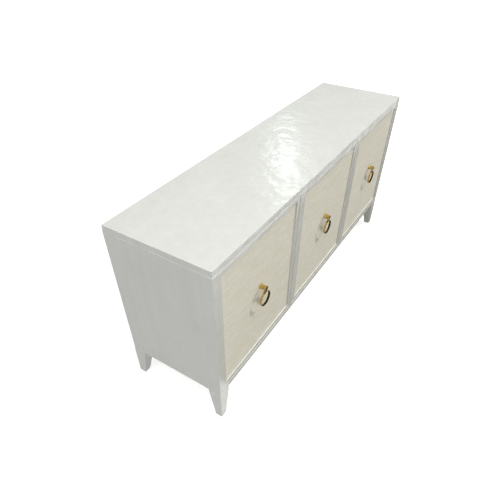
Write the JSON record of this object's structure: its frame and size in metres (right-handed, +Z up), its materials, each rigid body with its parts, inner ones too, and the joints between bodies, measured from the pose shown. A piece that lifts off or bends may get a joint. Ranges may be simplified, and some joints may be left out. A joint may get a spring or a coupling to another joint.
{
  "type": "sideboard buffet",
  "caption": "White lacquered sideboard on tapered legs with inset mitre-framed doors, woven panels and brass ring pulls.",
  "frame": {"origin": "on the floor under the centre of the sideboard's footprint, pulls included", "axes": "+X to the right along the front, +Y from the doors to the back, +Z up"},
  "size_m": [1.829, 0.5016, 0.832],
  "materials": {
    "white_lacquer": "satin white sprayed lacquer on wood",
    "inside_paint": "matt white paint on board",
    "back_board": "white primed fibreboard",
    "woven_raffia": "woven natural raffia cloth, cream, fibres across the door",
    "satin_brass": "satin lacquered brass",
    "zinc_steel": "zinc plated steel",
    "beech_dowel": "plain beech",
    "white_plastic": "moulded white plastic",
    "ferrite_magnet": "dark sintered magnet",
    "nylon_washer": "turned natural nylon",
    "felt_glide": "grey nylon glide"
  },
  "bodies": {
    "case": {"top_panel": "white_lacquer", "left_side_panel": "white_lacquer", "right_side_panel": "white_lacquer", "bottom_panel": "white_lacquer", "left_divider": "white_lacquer", "right_divider": "white_lacquer", "back_panel": "back_board", "front_left_leg": "white_lacquer", "front_right_leg": "white_lacquer", "rear_left_leg": "white_lacquer", "rear_right_leg": "white_lacquer", "leg_glides": "felt_glide", "leg_bolts": "zinc_steel", "left_shelf": "inside_paint", "middle_shelf": "inside_paint", "right_shelf": "inside_paint", "shelf_pins": "zinc_steel", "case_dowels": "beech_dowel", "case_screws": "zinc_steel", "catch_housings": "white_plastic", "catch_magnets": "ferrite_magnet", "case_hinge_leaves": "zinc_steel", "hinge_washers": "nylon_washer"},
    "left_door": {"left_door_hinge_stile": "white_lacquer", "left_door_closing_stile": "white_lacquer", "left_door_top_rail": "white_lacquer", "left_door_bottom_rail": "white_lacquer", "left_door_board": "back_board", "left_door_weave": "woven_raffia", "left_door_hinge_leaves": "zinc_steel", "left_door_screws": "zinc_steel", "left_door_strike": "zinc_steel", "left_pull_post": "satin_brass", "left_pull_bolt": "zinc_steel"},
    "left_ring": {"left_pull_ring": "satin_brass"},
    "middle_door": {"middle_door_hinge_stile": "white_lacquer", "middle_door_closing_stile": "white_lacquer", "middle_door_top_rail": "white_lacquer", "middle_door_bottom_rail": "white_lacquer", "middle_door_board": "back_board", "middle_door_weave": "woven_raffia", "middle_door_hinge_leaves": "zinc_steel", "middle_door_screws": "zinc_steel", "middle_door_strike": "zinc_steel", "middle_pull_post": "satin_brass", "middle_pull_bolt": "zinc_steel"},
    "middle_ring": {"middle_pull_ring": "satin_brass"},
    "right_door": {"right_door_hinge_stile": "white_lacquer", "right_door_closing_stile": "white_lacquer", "right_door_top_rail": "white_lacquer", "right_door_bottom_rail": "white_lacquer", "right_door_board": "back_board", "right_door_weave": "woven_raffia", "right_door_hinge_leaves": "zinc_steel", "right_door_screws": "zinc_steel", "right_door_strike": "zinc_steel", "right_pull_post": "satin_brass", "right_pull_bolt": "zinc_steel"},
    "right_ring": {"right_pull_ring": "satin_brass"}
  },
  "joints": [
    {"name": "left_door_swing", "type": "hinge", "parent": "case", "child": "left_door", "pos_m": [-0.871, -0.2206, 0.4965], "axis": [0, 0, -1], "range_deg": [0, 110]},
    {"name": "left_ring_swing", "type": "hinge", "parent": "left_door", "child": "left_ring", "pos_m": [-0.6, -0.24475, 0.5145], "axis": [-1, 0, 0], "range_deg": [-9, 189]},
    {"name": "middle_door_swing", "type": "hinge", "parent": "case", "child": "middle_door", "pos_m": [-0.271, -0.2206, 0.4965], "axis": [0, 0, -1], "range_deg": [0, 110]},
    {"name": "middle_ring_swing", "type": "hinge", "parent": "middle_door", "child": "middle_ring", "pos_m": [0, -0.24475, 0.5145], "axis": [-1, 0, 0], "range_deg": [-9, 189]},
    {"name": "right_door_swing", "type": "hinge", "parent": "case", "child": "right_door", "pos_m": [0.871, -0.2206, 0.4965], "axis": [0, 0, 1], "range_deg": [0, 110]},
    {"name": "right_ring_swing", "type": "hinge", "parent": "right_door", "child": "right_ring", "pos_m": [0.6, -0.24475, 0.5145], "axis": [-1, 0, 0], "range_deg": [-9, 189]}
  ]
}
